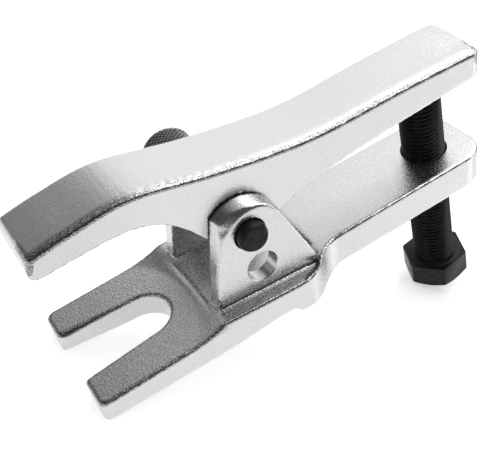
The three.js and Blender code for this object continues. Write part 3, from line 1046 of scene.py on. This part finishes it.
def satin_chrome():
    """Chrome plate over a blasted forging: fine grain, dark pits where the blasting is coarse, and a dark,
    speckled band of painted shade
    on sharp edges and in tight corners: a painted dark reflection along the edges, painted shade in the
    corners."""
    n = Nodes("satin_chrome")
    bend = n.attribute("bend")
    blast = n.attribute("blast")
    grain = n.noise(0.6, 3, 0.65)
    speck = n.noise(0.36, 1)
    cloud = n.noise(9, 3)
    plate = n.mix_colour(n.ramp(grain, 0.3, 0.7), grey(0.635), grey(0.685))
    pits = n.math("MULTIPLY", blast, n.ramp(speck, 0.4, 0.72, 0.18, 0.75))
    pitted = n.mix_colour(pits, plate, grey(0.25))
    # painted shade: edges and tight corners are darkened in speckles towards grey(0.08), a painted dark
    # reflection on edges and painted shade in fillets
    edge = n.ramp(bend, 0.1, 0.25)
    corner = n.ramp(bend, -0.12, -0.5)
    painted_edge_shade = n.math("MULTIPLY", n.math("MAXIMUM", edge, corner), n.ramp(speck, 0.36, 0.53))
    colour = n.mix_colour(n.math("MULTIPLY", painted_edge_shade, 0.8), pitted, grey(0.08))
    n.link(colour, n.shader.inputs["Base Color"])
    n.shader.inputs["Metallic"].default_value = 1
    rough = n.math("ADD", n.ramp(grain, 0.3, 0.7, 0.19, 0.3), n.ramp(cloud, 0.3, 0.7, -0.02, 0.03))
    n.link(rough, n.shader.inputs["Roughness"])
    rippled = n.bump(cloud, 0.25, 0.3)
    fine = n.bump(n.math("MULTIPLY", grain, n.ramp(blast, 0, 1, 0.15, 1.3)), 1.0, 0.16, rippled)
    n.link(fine, n.shader.inputs["Normal"])
    return n.material


def black_oxide():
    n = Nodes("black_oxide")
    cloud = n.noise(2.5, 4)
    grain = n.noise(0.3, 2)
    colour = n.mix_colour(n.ramp(cloud, 0.3, 0.7), grey(0.007), grey(0.02))
    n.link(colour, n.shader.inputs["Base Color"])
    n.shader.inputs["Metallic"].default_value = 0.5
    n.shader.inputs["Specular IOR Level"].default_value = 0.2
    n.link(n.ramp(cloud, 0.3, 0.7, 0.3, 0.46), n.shader.inputs["Roughness"])
    n.link(n.bump(grain, 0.25, 0.03), n.shader.inputs["Normal"])
    return n.material


def knurled_steel():
    """Blackened steel, with painted shade in the knurl's grooves, which leaves its crests lighter."""
    n = Nodes("knurled_steel")
    height = n.attribute("knurl")
    cloud = n.noise(1.2, 3)
    grain = n.noise(0.3, 2)
    crest = n.ramp(height, -0.75, -0.1)
    body = n.mix_colour(n.ramp(cloud, 0.3, 0.7), grey(0.025), grey(0.05))
    # painted shade: the grooves keep the dark body colour, the crests are lighter
    n.link(n.mix_colour(crest, body, grey(0.28)), n.shader.inputs["Base Color"])
    n.shader.inputs["Metallic"].default_value = 0.8
    n.link(n.ramp(cloud, 0.3, 0.7, 0.36, 0.5), n.shader.inputs["Roughness"])
    n.link(n.bump(grain, 0.3, 0.03), n.shader.inputs["Normal"])
    return n.material


def bright_steel():
    n = Nodes("bright_steel")
    cloud = n.noise(0.8, 3)
    n.link(n.mix_colour(cloud, grey(0.55), grey(0.68)), n.shader.inputs["Base Color"])
    n.shader.inputs["Metallic"].default_value = 1
    n.link(n.ramp(cloud, 0.3, 0.7, 0.12, 0.22), n.shader.inputs["Roughness"])
    return n.material


def floor_material():
    """White acrylic lit from below, so that shadows on it stay faint."""
    n = Nodes("white_floor")
    cloud = n.noise(60, 2)
    n.link(n.mix_colour(cloud, grey(0.9), grey(0.92)), n.shader.inputs["Base Color"])
    n.shader.inputs["Roughness"].default_value = 0.12
    n.shader.inputs["Specular IOR Level"].default_value = 0.6
    n.shader.inputs["Emission Color"].default_value = (*grey(1.0), 1)
    n.shader.inputs["Emission Strength"].default_value = 0.5
    return n.material


# ---------------------------------------------------------------- set, light and camera

CAMERA_AT = (-73.5466, -184.919, 178.7625)  # in the tool's frame
CAMERA_AZIMUTH = math.radians(-26.834)
CAMERA_ELEVATION = math.radians(38.951)
CAMERA_ROLL = math.radians(-8.823)
LENS_PER_WIDTH = 1.8014917  # focal length as a share of the sensor's width
SENSOR_WIDTH = 36
SHIFT = (-0.1, 0.0057)

# The rest is in metres, in the row frame
CLIP_START = 0.01
FLOOR_Z = -0.0014  # just under the fork's tips
FLOOR_HALF_WIDTH = 3.0
WORLD_FRONT = 0.06
WORLD_BACK = 0.25
WORLD_CROWN = 0.5
SKY_STRENGTH = 2.0
SKY_SPREAD = 130  # degrees
OVERHEAD_MIDDLE = (0.45, -0.05)
OVERHEAD_Z = 0.6
OVERHEAD_SIZE = (0.9, 0.7)
OVERHEAD_RADIANCE = 2.5
SIDE_AT = (0.58, -0.29, 0.17)
SIDE_AIM = (0.07, 0, 0.05)
SIDE_SIZE = (0.2, 0.3)
SIDE_RADIANCE = 3.0
BACK_LEFT = -0.2
BACK_PANELS = ((-0.06, 0.2), (-0.02, 0.56), (0.05, 0.86), (1.0, 0.94))  # right edge, radiance
BACK_DISTANCE = 0.42
BACK_HEIGHT = 1.0
BACK_MIDDLE_Z = 0.55


def add_camera():
    a, e, r = CAMERA_AZIMUTH, CAMERA_ELEVATION, CAMERA_ROLL
    back = Vector((math.sin(a) * math.cos(e), -math.cos(a) * math.cos(e), math.sin(e)))
    level = Vector((math.cos(a), math.sin(a), 0))
    rise = back.cross(level)
    right = math.cos(r) * level + math.sin(r) * rise
    up = math.cos(r) * rise - math.sin(r) * level
    turn = TOOL.to_quaternion().to_matrix()
    camera = bpy.data.objects.new("camera", bpy.data.cameras.new("camera"))
    camera.matrix_world = Matrix.Translation(TOOL @ Vector(CAMERA_AT)) @ (
        turn @ Matrix((right, up, back)).transposed()).to_4x4()
    camera.data.sensor_width = SENSOR_WIDTH
    camera.data.lens = SENSOR_WIDTH * LENS_PER_WIDTH
    camera.data.shift_x, camera.data.shift_y = SHIFT
    camera.data.clip_start = CLIP_START
    bpy.context.scene.collection.objects.link(camera)
    bpy.context.scene.camera = camera


def add_floor():
    half = FLOOR_HALF_WIDTH
    mesh = bpy.data.meshes.new("floor")
    corners = [(-half, -half), (half, -half), (half, half), (-half, half)]
    mesh.from_pydata([(x, y, FLOOR_Z) for x, y in corners], [], [(0, 1, 2, 3)])
    floor = bpy.data.objects.new("floor", mesh)
    floor.data.materials.append(floor_material())
    bpy.context.scene.collection.objects.link(floor)


def add_softbox(name, at, aim, size, radiance):
    """A panel for the metal to mirror; the floor is lit by the skylight."""
    light = bpy.data.lights.new(name, "AREA")
    light.shape = "RECTANGLE"
    width, height = size
    light.size = width
    light.size_y = height
    light.energy = radiance * math.pi * width * height
    lamp = bpy.data.objects.new(name, light)
    lamp.location = at
    lamp.rotation_euler = (Vector(aim) - Vector(at)).to_track_quat("-Z", "Y").to_euler()
    lamp.visible_diffuse = False
    bpy.context.scene.collection.objects.link(lamp)


def add_world():
    """A dim studio: nearly black in front of the object, mid grey behind it, paler overhead."""
    world = bpy.data.worlds.new("studio")
    world.use_nodes = True
    tree = world.node_tree
    background = tree.nodes["Background"]
    direction = tree.nodes.new("ShaderNodeSeparateXYZ")
    total = tree.nodes.new("ShaderNodeMath")
    tree.links.new(tree.nodes.new("ShaderNodeTexCoord").outputs["Generated"], direction.inputs[0])
    ramps = (("Y", 0.0, 0.6, WORLD_FRONT, WORLD_BACK), ("Z", 0.8, 0.97, 0.0, WORLD_CROWN))
    for (axis, low, high, start, end), addend in zip(ramps, total.inputs):
        ramp = tree.nodes.new("ShaderNodeMapRange")
        for key, number in (("From Min", low), ("From Max", high), ("To Min", start), ("To Max", end)):
            ramp.inputs[key].default_value = number
        tree.links.new(direction.outputs[axis], ramp.inputs["Value"])
        tree.links.new(ramp.outputs["Result"], addend)
    tree.links.new(total.outputs[0], background.inputs["Strength"])
    background.inputs["Color"].default_value = (*grey(1.0), 1)
    bpy.context.scene.world = world


def add_skylight():
    """Soft light straight from above, which the metal does not mirror."""
    light = bpy.data.lights.new("skylight", "SUN")
    light.energy = SKY_STRENGTH
    light.angle = math.radians(SKY_SPREAD)
    lamp = bpy.data.objects.new("skylight", light)
    lamp.location = (0, 0, 1)
    lamp.visible_glossy = False
    bpy.context.scene.collection.objects.link(lamp)


def add_back_panels():
    """Upright panels behind the object, side by side, brighter towards the right."""
    left = BACK_LEFT
    for right, radiance in BACK_PANELS:
        middle = (left + right) / 2
        at = (middle, BACK_DISTANCE, BACK_MIDDLE_Z)
        aim = (middle, 0, BACK_MIDDLE_Z)
        add_softbox("back", at, aim, (right - left, BACK_HEIGHT), radiance)
        left = right


def add_lights():
    add_skylight()
    overhead_at = (*OVERHEAD_MIDDLE, OVERHEAD_Z)
    add_softbox("overhead", overhead_at, (*OVERHEAD_MIDDLE, 0), OVERHEAD_SIZE, OVERHEAD_RADIANCE)
    add_softbox("side", SIDE_AT, SIDE_AIM, SIDE_SIZE, SIDE_RADIANCE)
    add_back_panels()


# ---------------------------------------------------------------- the object

chrome = satin_chrome()
oxide = black_oxide()
bright = bright_steel()
fork_body(chrome)
press_lever(chrome)
pivot_pin(oxide)
pin_knob(knurled_steel())
detent_ball(bright)
detent_spring(bright)
forcing_bolt(oxide)
thrust_ball(bright)

add_floor()
add_world()
add_lights()
add_camera()
bpy.context.scene.view_settings.view_transform = "Standard"
